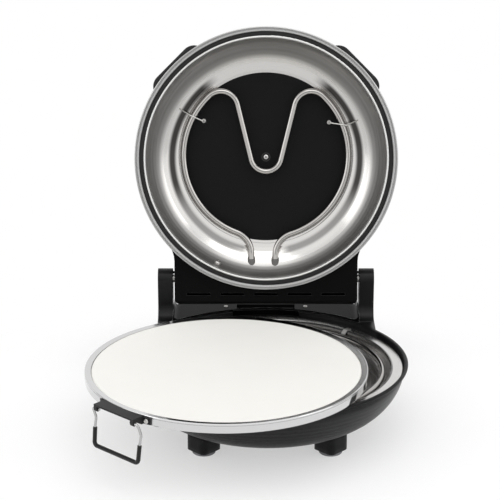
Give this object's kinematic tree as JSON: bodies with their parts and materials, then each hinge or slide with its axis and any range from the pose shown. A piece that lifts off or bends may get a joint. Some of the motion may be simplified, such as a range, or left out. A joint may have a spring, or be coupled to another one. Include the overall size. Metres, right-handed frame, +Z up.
{
  "type": "electric pizza maker",
  "caption": "Round countertop pizza maker: black base on feet, chrome-rimmed stone tray with a folding wire handle, and a hinged lid with an M-shaped heating tube.",
  "frame": {"origin": "on the table, on the axis of the round base, in the plane of the rubber pads", "axes": "+X to the right seen from the front, +Y to the back where the hinge is, +Z up"},
  "size_m": [0.3754, 0.4532, 0.4475],
  "materials": {
    "shell_black": "satin moulded, fine grain",
    "housing_black": "satin moulded",
    "deck_black": "polished",
    "dome_black": "semi-gloss stoved paint",
    "handle_black": "satin moulded",
    "rubber_grey": "dull",
    "reflector_steel": "satin",
    "bright_reflector": "polished",
    "element_steel": "polished tube",
    "chrome_trim": "mirror polished",
    "gasket_dark": "dull",
    "disc_black": "dull enamel",
    "fixing_steel": "bright zinc",
    "bushing_ceramic": "unglazed ceramic",
    "stone": "fine-grained baked clay",
    "bracket_sheet": "dark sheet",
    "sleeve_black": "satin",
    "lamp_red": "clear",
    "knob_black": "satin",
    "cover_black": "gloss",
    "can_steel": "plain"
  },
  "bodies": {
    "base": {"base_shell": "shell_black", "bottom_cover": "shell_black", "bottom_screws": "fixing_steel", "foot_front_left": "shell_black", "foot_front_right": "shell_black", "foot_rear_left": "shell_black", "foot_rear_right": "shell_black", "foot_pads": "rubber_grey", "base_reflector": "reflector_steel", "lower_element": "element_steel", "lower_clips": "fixing_steel", "lower_bushings": "bushing_ceramic", "rear_deck": "deck_black", "deck_screws": "fixing_steel", "mains_inlet": "cover_black", "inlet_pins": "fixing_steel", "hinge_post_left": "housing_black", "hinge_post_right": "housing_black", "hinge_pin_left": "fixing_steel", "hinge_pin_right": "fixing_steel"},
    "lid": {"lid_shell": "dome_black", "lid_ring": "chrome_trim", "lid_gasket": "gasket_dark", "lid_reflector": "bright_reflector", "lid_disc": "disc_black", "upper_element": "element_steel", "clip_left": "fixing_steel", "clip_right": "fixing_steel", "disc_screw": "fixing_steel", "reflector_screw": "fixing_steel", "upper_bushings": "bushing_ceramic", "hinge_housing": "housing_black", "housing_cover": "cover_black", "cover_screws": "fixing_steel", "thermostat": "can_steel", "timer_unit": "can_steel", "indicator_lamps": "lamp_red", "lid_handle": "handle_black"},
    "temperature_knob": {"temperature_knob": "knob_black"},
    "timer_knob": {"timer_knob": "knob_black"},
    "tray": {"tray_hoop": "chrome_trim", "baking_stone": "stone", "tray_bracket": "bracket_sheet", "bracket_rivets": "fixing_steel"},
    "bail": {"bail_wire": "chrome_trim", "bail_sleeve": "sleeve_black"}
  },
  "joints": [
    {"name": "lid_hinge", "type": "hinge", "parent": "base", "child": "lid", "pos_m": [0, 0.1522, 0.1332], "axis": [1, 0, 0], "range_deg": [0, 101]},
    {"name": "temperature_turn", "type": "hinge", "parent": "lid", "child": "temperature_knob", "pos_m": [-0.06, 0.16916, 0.13398], "axis": [0, 0.9816, -0.1908], "range_deg": [0, 270]},
    {"name": "timer_turn", "type": "hinge", "parent": "lid", "child": "timer_knob", "pos_m": [0.06, 0.16916, 0.13398], "axis": [0, 0.9816, -0.1908], "range_deg": [0, 300]},
    {"name": "tray_slide", "type": "slide", "parent": "base", "child": "tray", "axis": [0.6845, 0.729, 0], "range_m": [0, 0.0684]},
    {"name": "bail_hinge", "type": "hinge", "parent": "tray", "child": "bail", "pos_m": [-0.1657, -0.17645, 0.091], "axis": [-0.729, 0.6845, 0], "range_deg": [0, 95]}
  ]
}
